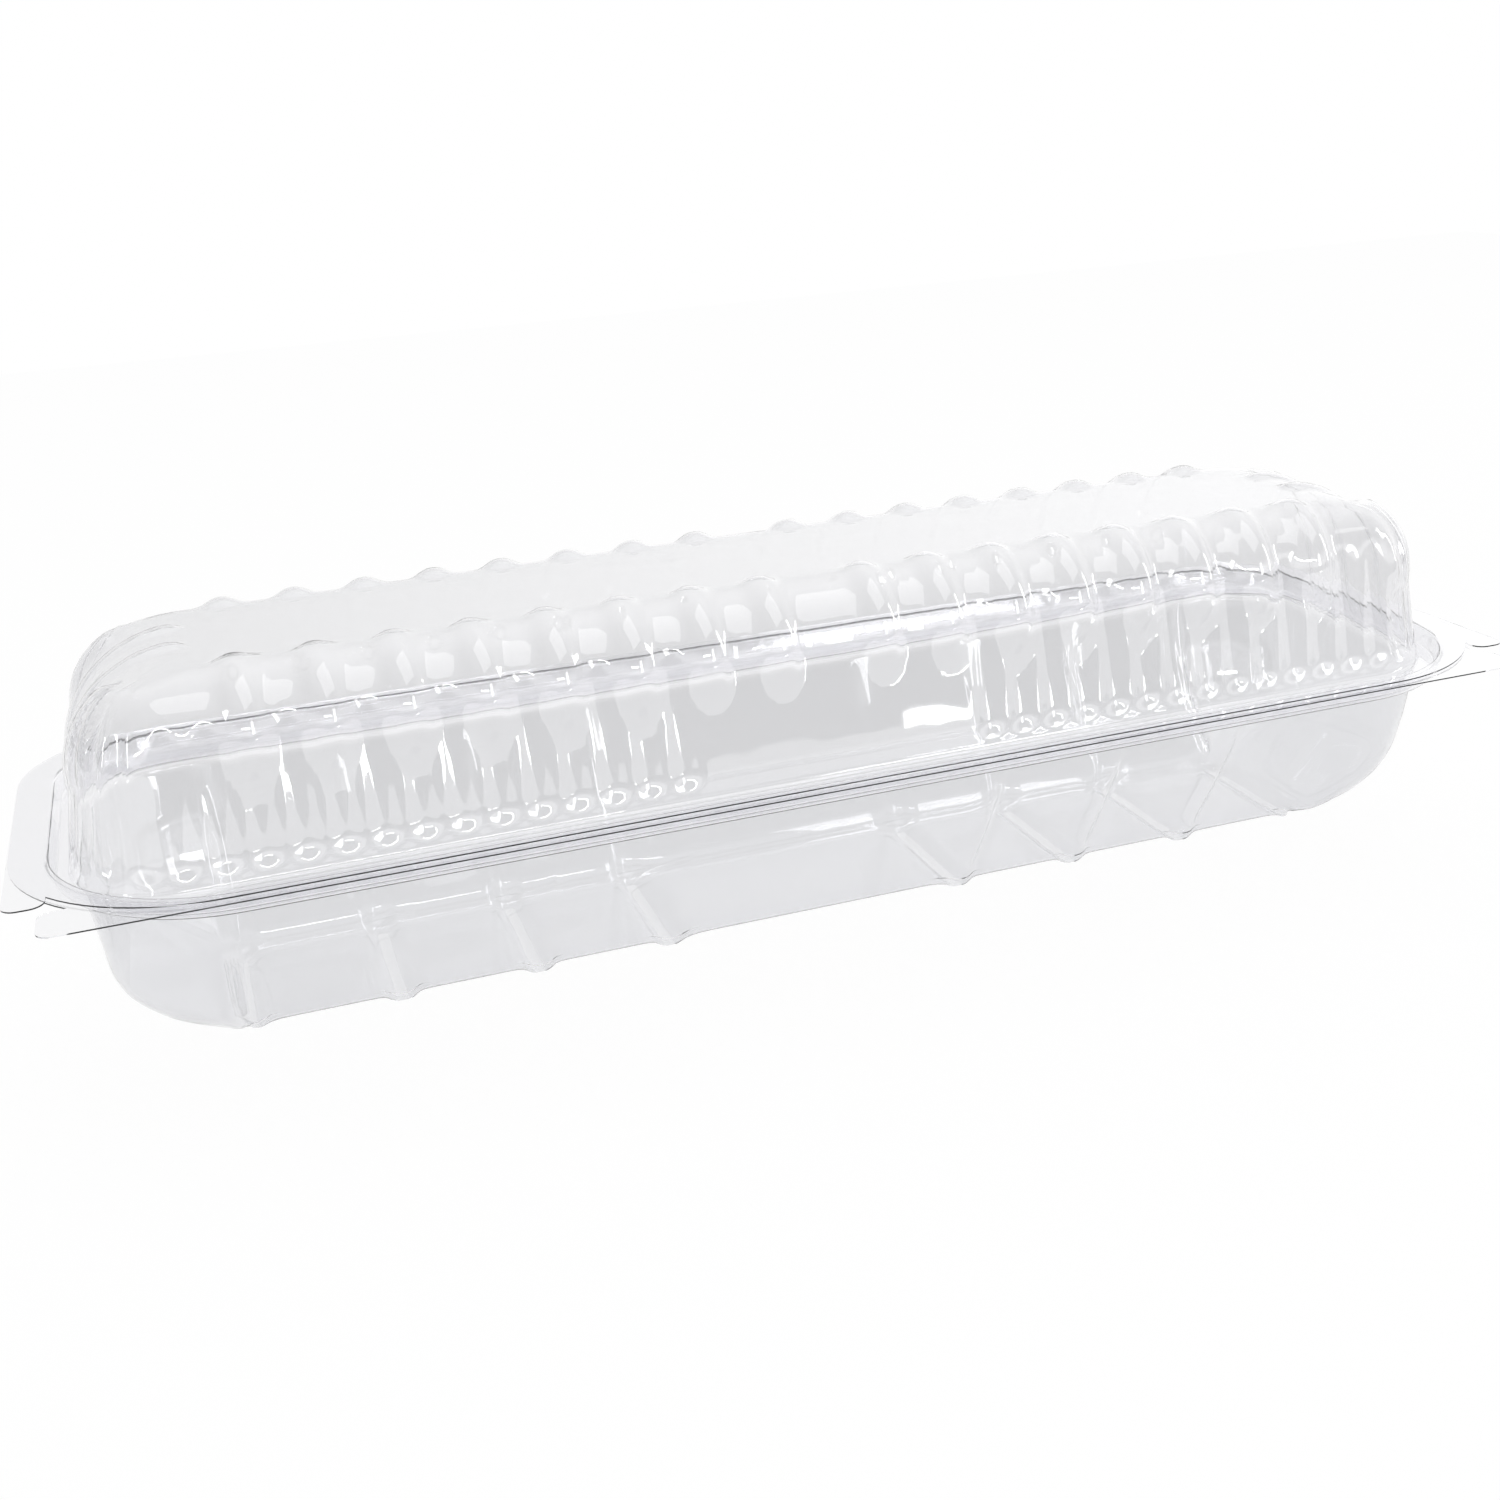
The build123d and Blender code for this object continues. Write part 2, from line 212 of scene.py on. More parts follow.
# the recess in both rims: half length, half width, front corner and back corner
RECESS = (163.0, 52.6, 37.0, 27.0)
RECESS_DEPTH = 4.0
RECESS_LEAN = math.tan(math.radians(15.0))
LIP_SPACING = 0.35
WELL_SPACING = 0.5


def spaced(start, end, spacing):
    """Even steps from a start to an end, no longer than the spacing; the start is left out."""
    start, end = np.array(start, float), np.array(end, float)
    steps = max(1, math.ceil(np.linalg.norm(end - start) / spacing))
    return [start + (end - start) * (i + 1) / steps for i in range(steps)]


def stepped(points, spacing):
    """A polyline cut into even steps no longer than the spacing."""
    out = [points[0]]
    for start, end in zip(points, points[1:]):
        out += [tuple(point) for point in spaced(start, end, spacing)]
    return out


def between(first, last, shares):
    """What lies between two loops or two sets of sizes, at these shares of the way."""
    return [first * (1 - share) + last * share for share in shares]


def recess_loop(loop, inset, z):
    """The recess's outline at a height, drawn in by an inset and laid as the half's own loop."""
    return loop(*(size - inset for size in RECESS), z)


def soften_along(grid, axis, rounds):
    """Average neighbours one way of the grid: the loops are closed, the rows across them not."""
    for _ in range(rounds):
        if axis == 1:
            grid = 0.25 * np.roll(grid, 1, 1) + 0.5 * grid + 0.25 * np.roll(grid, -1, 1)
        else:
            middle = 0.25 * grid[:-2] + 0.5 * grid[1:-1] + 0.25 * grid[2:]
            grid = np.concatenate([grid[:1], middle, grid[-1:]])
    return grid


def outward_normals(grid):
    """Unit normals of a grid of loops that climb inwards."""
    around = np.roll(grid, -1, 1) - np.roll(grid, 1, 1)
    normal = np.cross(around, np.gradient(grid, axis=0))
    return normal / np.linalg.norm(normal, axis=2, keepdims=True)


# ---------------------------------------------------------------- the lid's loops

# the dome stands round a spine: its half length and half width
SPINE = (136.4, 17.0)
FOOT_REACH = 22.6
DOME_TOP = 36.3
LEAN = math.radians(9.6)
SIDE_SHOULDER = 15.0
END_SHOULDER = 25.0
CROWN_CORNER = 6.0
LID_LIP = -0.6
LID_WELL_INSET = 0.65
LEDGE_Z = SHEET - RECESS_DEPTH
SHOULDER_Z = DOME_TOP - SIDE_SHOULDER + SIDE_SHOULDER * math.sin(LEAN)

# the loops keep the same stations: along the sides, round the corners and across the ends
SIDE_STEPS = 250
CORNER_STEPS = 30
END_STEPS = 32

# where the loops lie: across the ledge, up the dome's foot, and in over the flat crown
LEDGE_SHARES = (0.04, 0.1, 0.18, 0.32, 0.5, 0.68, 0.82, 0.9, 0.96, 1.0)
FOOT_RISES = (0.4, 0.9, 1.5, 2.2)
CROWN_INSETS = (0.8, 1.6, 2.4, 3.3, 4.4)
SHOULDER_ROWS = 20

# up the wall they lie close by the flutes' feet, wide above them and closer to the shoulder;
# each stretch has its top and its spacing
WALL_STRETCHES = ((5.0, 0.93), (13.0, 2.67), (SHOULDER_Z, 1.56))


def lid_stations():
    """For every station, its share of each corner's centre and the way it faces."""
    shares, facing = [], []
    for corner, steps in enumerate((SIDE_STEPS, END_STEPS, SIDE_STEPS, END_STEPS)):
        following = (corner + 1) % 4
        turn = math.radians(90 * corner - 90)
        for i in range(steps):
            share = [0.0] * 4
            share[corner] = 1 - i / steps
            share[following] = i / steps
            shares.append(share)
            facing.append((math.cos(turn), math.sin(turn)))
        for i in range(CORNER_STEPS):
            share = [0.0] * 4
            share[following] = 1.0
            shares.append(share)
            angle = turn + math.pi / 2 * i / CORNER_STEPS
            facing.append((math.cos(angle), math.sin(angle)))
    return np.array(shares), np.array(facing)


LID_SHARES, LID_FACING = lid_stations()


def lid_loop(half_x, half_y, front_radius, back_radius, z):
    """One rounded loop of the lid at a height."""
    radius = np.array([front_radius, front_radius, back_radius, back_radius])
    centre_x = np.array([-1, 1, 1, -1]) * (half_x - radius)
    centre_y = np.array([-1, -1, 1, 1]) * (half_y - radius)
    reach = LID_SHARES @ radius
    x = LID_SHARES @ centre_x + reach * LID_FACING[:, 0]
    y = LID_SHARES @ centre_y + reach * LID_FACING[:, 1]
    return np.stack([x, y, np.full(len(x), z)], axis=1)


def wall_reach(z):
    """How far the leaning wall stands out from the spine at a height."""
    return FOOT_REACH - (z + RECESS_DEPTH) * math.tan(LEAN)


def axis_reach(shoulder):
    """How far the axis of a shoulder's bend lies out from the spine."""
    return wall_reach(DOME_TOP - shoulder) - shoulder / math.cos(LEAN)


def reach_at(z, shoulder):
    """How far the dome stands out from its spine at a height."""
    axis_z = DOME_TOP - shoulder
    if z <= axis_z + shoulder * math.sin(LEAN):
        return wall_reach(z)
    return axis_reach(shoulder) + math.sqrt(max(shoulder**2 - (z - axis_z) ** 2, 0))


def dome_loop(z, inset=0.0):
    """The dome's loop at a height; the inset draws it further in across the flat crown."""
    end = reach_at(z, END_SHOULDER)
    side = reach_at(z, SIDE_SHOULDER)
    corner = max(end, CROWN_CORNER) - inset
    return lid_loop(SPINE[0] + end - inset, SPINE[1] + side - inset, corner, corner, z)


def dome_heights():
    """The heights of the dome's loops, from its foot up the wall and round the shoulder."""
    heights = [LEDGE_Z + rise for rise in FOOT_RISES]
    for top, spacing in WALL_STRETCHES:
        heights += spaced(heights[-1], top, spacing)
    for row in range(1, SHOULDER_ROWS + 1):
        turn = LEAN + (math.pi / 2 - LEAN) * row / SHOULDER_ROWS
        heights.append(DOME_TOP - SIDE_SHOULDER + SIDE_SHOULDER * math.sin(turn))
    return heights


# ---------------------------------------------------------------- the lid's ribs and flutes

# a rib: its radius, how far it stands proud, the shoulder it bends over and its inner end
SIDE_RIB = (5.6, 2.0, SIDE_SHOULDER, 1.5)
FAN_RIB = (3.0, 0.9, 19.0, 7.0)
END_RIB = (4.2, 1.3, END_SHOULDER, -6.9)

# its bend ends this far round from upright, and it isn't laid on the spine's far side
RIB_TURN_END = math.radians(118)
RIB_FAR_SIDE = -12

# stands for no rib, and lies deeper than any flute
NO_RIB = -9.0

# a flute: its half width, its depth and the height of its foot
FLUTE = (2.6, 0.9, -1.0)
FLUTE_SLOPE_RUN = 0.9

# where the rows stand: along the sides, round the corners in degrees, and across the ends
RIB_FIRST = 11.7
RIB_PITCH = 15.6
SIDE_RIBS = [RIB_FIRST + RIB_PITCH * i for i in range(8)]
SIDE_FLUTES = [RIB_FIRST + RIB_PITCH / 2 * i for i in range(3, 17)]
FAN_TURN = 19.5
FAN_COUNT = 4
END_RIBS = (-7, 7)
END_FLUTES = (-14, -7, 0, 7, 14)


# a row is an upright plane across the dome: its origin on the spine and the way it faces

def side_rows(offsets):
    """Rows along both sides, at these distances either way from the middle."""
    rows = []
    for x in offsets:
        for hand in (1, -1):
            for side in (1, -1):
                rows.append(((hand * x, side * SPINE[1]), (0, side)))
    return rows


def fan_rows():
    """Rows that fan round the four corners."""
    rows = []
    for row in range(1, FAN_COUNT + 1):
        angle = math.radians(FAN_TURN * row)
        for hand in (1, -1):
            for side in (1, -1):
                origin = (hand * SPINE[0], side * SPINE[1])
                rows.append((origin, (hand * math.sin(angle), side * math.cos(angle))))
    return rows


def end_rows(offsets):
    """Rows across both ends."""
    return [((hand * SPINE[0], y), (hand, 0)) for y in offsets for hand in (1, -1)]


def across(places, origin, outward):
    """Where places lie by one row: out from its origin, and off to its side."""
    x = places[..., 0] - origin[0]
    y = places[..., 1] - origin[1]
    return x * outward[0] + y * outward[1], y * outward[0] - x * outward[1]


def bar_height(places, normals, row, radius, proud, shoulder, inner):
    """How far a round bar bent over the shoulder stands above the dome, along its normals."""
    sunk = radius - proud
    bend = shoulder - sunk
    axis_r, axis_z = axis_reach(shoulder), DOME_TOP - shoulder
    shown = math.sqrt(radius**2 - sunk**2)
    first = math.asin(max(inner + shown - axis_r, 0) / bend)
    out, side = across(places, *row)
    turn = np.arctan2(out - axis_r, places[..., 2] - axis_z)
    turn = np.clip(turn, first, RIB_TURN_END)
    gap_out = out - axis_r - bend * np.sin(turn)
    gap_up = places[..., 2] - axis_z - bend * np.cos(turn)
    facing_out, facing_side = across(normals, (0, 0), row[1])
    depth = gap_out * facing_out + gap_up * normals[..., 2] + side * facing_side
    off = gap_out**2 + gap_up**2 + side**2 - depth**2
    near = (off < radius**2) & (out > RIB_FAR_SIDE) & (abs(depth) < 2 * radius)
    return np.where(near, np.sqrt(np.maximum(radius**2 - off, 0)) - depth, NO_RIB)


def flute_depth(places, row, half_width, depth, foot):
    """How deep one round-footed flute lies below the dome wall."""
    out, side = across(places, *row)
    z = places[..., 2]
    inside = np.maximum((wall_reach(z) - out) * math.cos(LEAN), 0)
    below = np.maximum(foot + half_width - z, 0)
    edge = np.clip((half_width - np.hypot(side, below)) / FLUTE_SLOPE_RUN, 0, 1)
    return np.where(out > 0, np.clip(depth * edge - inside, 0, None), 0)


def ribs_and_flutes(grid, normals):
    """How far each point is moved out to a rib, or in to a flute."""
    raised = np.full(grid.shape[:2], NO_RIB)
    families = (
        (side_rows(SIDE_RIBS), SIDE_RIB), (fan_rows(), FAN_RIB), (end_rows(END_RIBS), END_RIB)
    )
    for rows, rib in families:
        for row in rows:
            raised = np.maximum(raised, bar_height(grid, normals, row, *rib))
    sunk = np.zeros(grid.shape[:2])
    for row in side_rows(SIDE_FLUTES) + fan_rows() + end_rows(END_FLUTES):
        sunk = np.maximum(sunk, flute_depth(grid, row, *FLUTE))
    return np.maximum(raised, -sunk)


def lid_grid():
    """The lid's upper skin, from the rim's lip down the well, over the ledge and up the dome."""
    lip = [(LID_LIP, SHEET), (LID_WELL_INSET, SHEET), (LID_WELL_INSET, 0)]
    well = stepped(lip, LIP_SPACING)
    foot_inset = LID_WELL_INSET - LEDGE_Z * RECESS_LEAN
    well += stepped([well[-1], (foot_inset, LEDGE_Z)], WELL_SPACING)[1:]
    loops = [recess_loop(lid_loop, inset, z) for inset, z in well]
    loops += between(loops[-1], dome_loop(LEDGE_Z), LEDGE_SHARES)
    plain = len(loops) + len(FOOT_RISES)
    loops += [dome_loop(z) for z in dome_heights()]
    loops += [dome_loop(DOME_TOP, inset) for inset in CROWN_INSETS]

    # the well, the ledge and the foot are softened, and carry no ribs or flutes
    grid = np.array(loops)
    grid[:plain] = soften_along(grid[:plain], 0, 2)
    normals = outward_normals(grid)
    shift = ribs_and_flutes(grid, normals)
    shift[:plain] = 0
    shift = soften_along(soften_along(shift, 1, 1), 0, 1)
    return grid + shift[..., None] * normals


# ---------------------------------------------------------------- the base's loops

BASE_LIP = -1.0

# the trough: height, half length, half width and corner
TROUGH_LEVELS = np.array([
    (-4.3, 157.6, 40.6, 22.0),
    (-17.5, 155.8, 38.2, 19.5),
    (-26.0, 155.0, 35.4, 18.0),
    (-31.0, 153.5, 33.4, 17.0),
    (-36.5, 147.6, 30.6, 13.5),
    (-43.4, 136.0, 24.6, 10.0),
])
TROUGH_FLOOR = TROUGH_LEVELS[-1, 0]
TROUGH_SPACING = 1.3
MOUTH_SHARES = (0.05, 0.12, 0.22, 0.36, 0.5, 0.64, 0.78, 0.88, 0.95, 1.0)
MOUTH_LEVELS = [-4.7, -5.2, -5.9, -6.8, -8.0]

# below its floor stands a narrow plinth; each of these is half length, half width and corner
FLOOR_INNER = np.array([132.0, 18.5, 5.5])
PLINTH_TOP = np.array([132.0, 18.25, 5.6])
PLINTH_FOOT = np.array([131.4, 18.0, 5.0])
PLINTH_DROP = 2.0
PLINTH_BOTTOM = TROUGH_FLOOR - PLINTH_DROP
FLOOR_SHARES = (0.25, 0.5, 0.75, 1.0)
PLINTH_SHARES = (0.3, 0.65, 1.0)
PLINTH_INSETS = (0.7, 1.6)

# short of its ends the long walls are pared to a steeper profile: height and half width
WALL_PROFILE = np.array([
    (-4.3, 39.6), (-17.5, 33.4), (-30.5, 25.8), (-41.2, 18.8), (PLINTH_BOTTOM, 18.0)
])
WALL_END = 131.0
WALL_END_RUN = 3.0
WALL_TOUCH = 0.01

# the foot ribs grow down the walls and stand below the plinth
FOOT_RIBS = (36.2, 66.7, 97.3, 129.6)
FOOT_RIB_HALF = 3.4
FOOT_RIB_PROUD = 1.6
FOOT_RIB_GROWTH = 13.5
FOOT_RIB_DROP_FROM = -41.6
FOOT_RIB_DROP_RUN = FOOT_RIB_DROP_FROM - PLINTH_BOTTOM

# the loops keep fixed stations along the sides, then shared parts of the way round each end
SIDE_END = 128.0
FINE_STEP = 0.62
COARSE_STEP = 2.2
FINE_REACH = 4.4
STEP_AHEAD = 0.4
END_STRAIGHT = [0.7 * i for i in range(1, 9)]
END_SHARES = [i / 52 for i in range(1, 53)]


def side_stations():
    """Places along half a side, closer together at the foot ribs."""
    places = [0.0]
    while places[-1] < SIDE_END - STEP_AHEAD:
        near = min(abs(places[-1] + STEP_AHEAD - x) for x in FOOT_RIBS)
        step = FINE_STEP if near < FINE_REACH else COARSE_STEP
        places.append(min(places[-1] + step, SIDE_END))
    places[-1] = SIDE_END
    return places


BASE_SIDE = side_stations()


def base_quarter(half_x, half_y, radius):
    """A quarter of a base loop, from the middle of the side to the middle of the end."""
    centre_x, centre_y = half_x - radius, half_y - radius
    points = []
    for x in BASE_SIDE:
        over = max(x - centre_x, 0)
        points.append((x, centre_y + math.sqrt(radius**2 - over**2)))
    first = math.asin(min(max((SIDE_END - centre_x) / radius, 0), 1))
    straight = max(centre_x - SIDE_END, 0)
    arc = radius * (math.pi / 2 - first)
    whole = straight + arc + centre_y
    fixed = END_STRAIGHT[-1]
    for run in END_STRAIGHT + [fixed + (whole - fixed) * share for share in END_SHARES]:
        if run < straight:
            points.append((SIDE_END + run, half_y))
        elif run < straight + arc:
            angle = first + (run - straight) / radius
            x = centre_x + radius * math.sin(angle)
            y = centre_y + radius * math.cos(angle)
            points.append((x, y))
        else:
            points.append((half_x, max(centre_y - (run - straight - arc), 0)))
    return points


def base_loop(half_x, half_y, front_radius, back_radius, z):
    """One rounded loop of the base at a height."""
    front = base_quarter(half_x, half_y, front_radius)
    back = base_quarter(half_x, half_y, back_radius)
    loop = [(x, -y, z) for x, y in front]
    loop += [(x, y, z) for x, y in reversed(back[:-1])]
    loop += [(-x, y, z) for x, y in back[1:]]
    loop += [(-x, -y, z) for x, y in reversed(front[1:-1])]
    return np.array(loop)


def rib_share(x):
    """One on a foot rib's crest, nought beside it."""
    off = np.min([abs(abs(x) - rib) for rib in FOOT_RIBS], axis=0)
    return np.sqrt(np.clip(1 - (off / FOOT_RIB_HALF) ** 2, 0, 1))


def trough_loop(z, half_x, half_y, radius):
    """One loop of the trough, with its long walls pared and its foot ribs raised on them."""
    loop = base_loop(half_x, half_y, radius, radius, z)
    plain = abs(loop[:, 1])
    wall = np.interp(-z, -WALL_PROFILE[:, 0], WALL_PROFILE[:, 1])
    pared = np.clip((WALL_END + WALL_END_RUN / 2 - abs(loop[:, 0])) / WALL_END_RUN, 0, 1)
    width = plain * (1 - pared) + np.minimum(plain, wall) * pared
    rise = np.clip((-RECESS_DEPTH - z) / FOOT_RIB_GROWTH, 0, 1) * FOOT_RIB_PROUD
    on_wall = plain > wall - WALL_TOUCH
    width = width + rise * rib_share(loop[:, 0]) * pared * on_wall
    loop[:, 1] = np.sign(loop[:, 1]) * width
    return loop


def plinth_bottom_loop(inset):
    """A loop under the plinth, which the foot ribs stand out past."""
    loop = trough_loop(PLINTH_BOTTOM, *(PLINTH_FOOT - inset))
    widest = PLINTH_FOOT[1] - inset + FOOT_RIB_PROUD * rib_share(loop[:, 0])
    loop[:, 1] = np.sign(loop[:, 1]) * np.minimum(abs(loop[:, 1]), widest)
    return loop


def base_grid():
    """The base's under skin, from the rim's lip down the well, the ledge and the trough."""
    lip = [(BASE_LIP, -SHEET), (-SHEET + SHEET * RECESS_LEAN, -SHEET)]
    well = stepped(lip, LIP_SPACING)
    foot_inset = -SHEET + (RECESS_DEPTH + SHEET) * RECESS_LEAN
    well += stepped([well[-1], (foot_inset, -RECESS_DEPTH - SHEET)], WELL_SPACING)[1:]
    loops = [recess_loop(base_loop, inset, z) for inset, z in well]
    loops += between(loops[-1], trough_loop(*TROUGH_LEVELS[0]), MOUTH_SHARES)
    for z in MOUTH_LEVELS + spaced(MOUTH_LEVELS[-1], TROUGH_FLOOR, TROUGH_SPACING):
        sizes = [np.interp(-z, -TROUGH_LEVELS[:, 0], TROUGH_LEVELS[:, i]) for i in (1, 2, 3)]
        loops.append(trough_loop(z, *sizes))
    for sizes in between(TROUGH_LEVELS[-1, 1:], FLOOR_INNER, FLOOR_SHARES):
        loops.append(trough_loop(TROUGH_FLOOR, *sizes))
    for share, sizes in zip(PLINTH_SHARES, between(PLINTH_TOP, PLINTH_FOOT, PLINTH_SHARES)):
        loops.append(trough_loop(TROUGH_FLOOR - PLINTH_DROP * share, *sizes))
    loops += [plinth_bottom_loop(inset) for inset in PLINTH_INSETS]

    grid = np.array(loops)
    dropped = np.clip((FOOT_RIB_DROP_FROM - grid[..., 2]) / FOOT_RIB_DROP_RUN, 0, 1)
    grid[..., 2] -= dropped * FOOT_RIB_PROUD * rib_share(grid[..., 0])
    grid = soften_along(grid, 0, 2)
    return soften_along(grid, 1, 2)


# ---------------------------------------------------------------- skins

RUNG_SHARES = (0.06, 0.2, 0.35, 0.5, 0.65, 0.8, 0.94)


def in_metres(grid, zero):
    """The grid's points in metres, raised to their half's flange."""
    return [tuple(point) for point in ((grid + (0, 0, zero)) / 1000).reshape(-1, 3)]


def ring_faces(rings, count):
    """Four-sided faces between each loop and the next."""
    faces = []
    for start in range(0, (rings - 1) * count, count):
        for i in range(count):
            j = (i + 1) % count
            faces.append((start + i, start + j, start + count + j, start + count + i))
    return faces


def floor_faces(points, last, count):
    """Close the base's last loop with rungs across the plinth, whose points join the others."""
    side = len(BASE_SIDE)
    quarter = side + len(END_STRAIGHT) + len(END_SHARES)
    front = [-i % count for i in range(side - 1, 0, -1)] + list(range(side))
    back = [(2 * (quarter - 1) - i) % count for i in range(-(side - 1), side)]
    rungs = []
    for i, j in zip(front, back):
        start, end = np.array(points[last + i]), np.array(points[last + j])
        inner = list(range(len(points), len(points) + len(RUNG_SHARES)))
        points += [tuple(start + (end - start) * share) for share in RUNG_SHARES]
        rungs.append([last + i] + inner + [last + j])
    faces = []
    for rung, following in zip(rungs, rungs[1:]):
        for k in range(len(rung) - 1):
            faces.append((rung[k], following[k], following[k + 1], rung[k + 1]))
    right = [last + i for i in range(front[-1], back[-1] + 1)] + rungs[-1][-2:0:-1]
    left = [last + i for i in range(back[0], front[0] + 1)] + rungs[0][1:-1]
    return faces + [tuple(right), tuple(left)]


def new_skin(name, points, faces):
    """A new mesh object with these points and faces."""
    mesh = bpy.data.meshes.new(name)
    mesh.from_pydata(points, [], faces)
    skin = bpy.data.objects.new(name, mesh)
    bpy.context.scene.collection.objects.link(skin)
    return skin


def lid_skin():
    """The lid's upper skin, with its crown closed by one flat face."""
    grid = lid_grid()
    rings, count = grid.shape[:2]
    crown = tuple(range((rings - 1) * count, rings * count))
    return new_skin("lid_sheet", in_metres(grid, LID_ZERO), ring_faces(rings, count) + [crown])


def base_skin():
    """The base's under skin; its loops run downwards, so every face is turned over."""
    grid = base_grid()
    rings, count = grid.shape[:2]
    points = in_metres(grid, BASE_ZERO)
    faces = ring_faces(rings, count) + floor_faces(points, (rings - 1) * count, count)
    return new_skin("base_sheet", points, [face[::-1] for face in faces])


# ---------------------------------------------------------------- rims and thickness, in metres

WELD = 0.000004

# the rim's cut edge: how level, how upright and how far outside the recess its faces lie
RIM_EDGE_REACH = 0.00032
RIM_EDGE_UPRIGHT = 0.1
RIM_EDGE_OUTSIDE = 0.0009

RIM_LEVEL_REACH = 0.00001
SMOOTH_ANGLE = math.radians(50)


def welded_copy(node):
    """A loose copy of one half of the container, its facets welded together."""
    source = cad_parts[node]
    piece = source.copy()
    piece.data = source.data.copy()
    piece.parent = None
    bpy.context.scene.collection.objects.link(piece)
    piece.matrix_world = Matrix.Identity(4)
    select_only(piece)
    bpy.ops.object.mode_set(mode="EDIT")
    bpy.ops.mesh.select_all(action="SELECT")
    bpy.ops.mesh.remove_doubles(threshold=WELD)
    bpy.ops.mesh.select_mode(type="FACE")
    bpy.ops.mesh.select_all(action="DESELECT")
    bpy.ops.object.mode_set(mode="OBJECT")
    return piece


def past_recess(point):
    """How far a point lies outside the recess's plan; negative inside it."""
    half_x, half_y, front_radius, back_radius = (size / 1000 for size in RECESS)
    radius = back_radius if point.y > 0 else front_radius
    over_x = abs(point.x) - (half_x - radius)
    over_y = abs(point.y) - (half_y - radius)
    corner = math.hypot(max(over_x, 0), max(over_y, 0))
    return corner + min(max(over_x, over_y), 0) - radius


def rim_outline(node, rim_z):
    """The trimmed outline of one half, as a loop of edges at one level."""
    piece = welded_copy(node)
    points = piece.data.vertices
    for face in piece.data.polygons:
        heights = [points[i].co.z for i in face.vertices]
        level = max(heights) < rim_z + RIM_EDGE_REACH and min(heights) > rim_z - RIM_EDGE_REACH
        upright = abs(face.normal.z) < RIM_EDGE_UPRIGHT
        face.select = not (level and upright and past_recess(face.center) > RIM_EDGE_OUTSIDE)
    bpy.ops.object.mode_set(mode="EDIT")
    bpy.ops.mesh.delete(type="FACE")
    bpy.ops.mesh.select_mode(type="VERT")
    bpy.ops.mesh.select_all(action="DESELECT")
    bpy.ops.object.mode_set(mode="OBJECT")
    for vertex in piece.data.vertices:
        vertex.select = abs(vertex.co.z - rim_z) > RIM_LEVEL_REACH
    bpy.ops.object.mode_set(mode="EDIT")
    bpy.ops.mesh.delete(type="VERT")
    bpy.ops.object.mode_set(mode="OBJECT")
    return piece


def formed_sheet(node, skin, rim_z, side, material, body):
    """Carry a skin out to the trimmed rim and thicken it; side is 1 where it faces up, or -1."""
    outline = rim_outline(node, rim_z)
    select_only(skin, outline)
    bpy.ops.object.join()
    bpy.ops.object.mode_set(mode="EDIT")
    bpy.ops.mesh.select_mode(type="EDGE")
    bpy.ops.mesh.select_all(action="DESELECT")
    bpy.ops.mesh.select_non_manifold(
        extend=False, use_multi_face=False, use_non_contiguous=False, use_verts=False
    )
    bpy.ops.mesh.fill(use_beauty=True)
    bpy.ops.mesh.select_all(action="SELECT")
    bpy.ops.mesh.normals_make_consistent(inside=False)
    bpy.ops.object.mode_set(mode="OBJECT")
    crest = max(skin.data.polygons, key=lambda face: side * face.center.z)
    if side * crest.normal.z < 0:
        skin.data.flip_normals()
    bpy.ops.object.modifier_add(type="SOLIDIFY")
    thickness = skin.modifiers[-1]
    thickness.thickness = SHEET / 1000
    thickness.offset = -1
    thickness.use_quality_normals = True
    bpy.ops.object.modifier_apply(modifier=thickness.name)
    bpy.ops.object.shade_smooth_by_angle(angle=SMOOTH_ANGLE)
    skin.data.materials.clear()
    skin.data.materials.append(material)
    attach(skin, body)
    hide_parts(node)


lid_rim_z = (LID_ZERO + SHEET) / 1000
formed_sheet("lid", lid_skin(), lid_rim_z, 1, lid_plastic, "lid")
base_rim_z = (BASE_ZERO - SHEET) / 1000
formed_sheet("base", base_skin(), base_rim_z, -1, base_plastic, "base")


# ---------------------------------------------------------------- floor and room

WHITE = (1.0, 1.0, 1.0, 1.0)
FLOOR_SIZE = 2.4
PAPER = (0.9, 0.9, 0.9, 1.0)
PAPER_ROUGHNESS = 0.8
PAPER_GLOW = 0.95
MIRRORED_GLOW = 0.65

# the graded room: light by height, and light from the front to the back and from left to right
OVERHEAD = ((0.6, 1.0), (0.0, 0.65))
FRONT_TO_BACK = ((-0.35, 0.45), (0.1, 1.2))
LEFT_TO_RIGHT = ((0.0, 0.55), (0.74, 1.0))
BACK_SKEW = 0.3
BAND_BOTTOM = (0.04, 0.12)
BAND_TOP = (0.4, 0.2)
BAND_FRONT = (-0.2, -0.6)


def seen_straight(tree, path):
    """One where this is seen directly, through the clear sheet, or along inside it."""
    through = combine(tree, "MAXIMUM", path["Is Camera Ray"], path["Is Transmission Ray"])
    unmirrored = combine(tree, "LESS_THAN", path["Glossy Depth"], 0.5)
    piped = combine(tree, "GREATER_THAN", path["Glossy Depth"], 1.5)
    plain = combine(tree, "MAXIMUM", unmirrored, piped)
    return combine(tree, "MULTIPLY", through, plain)


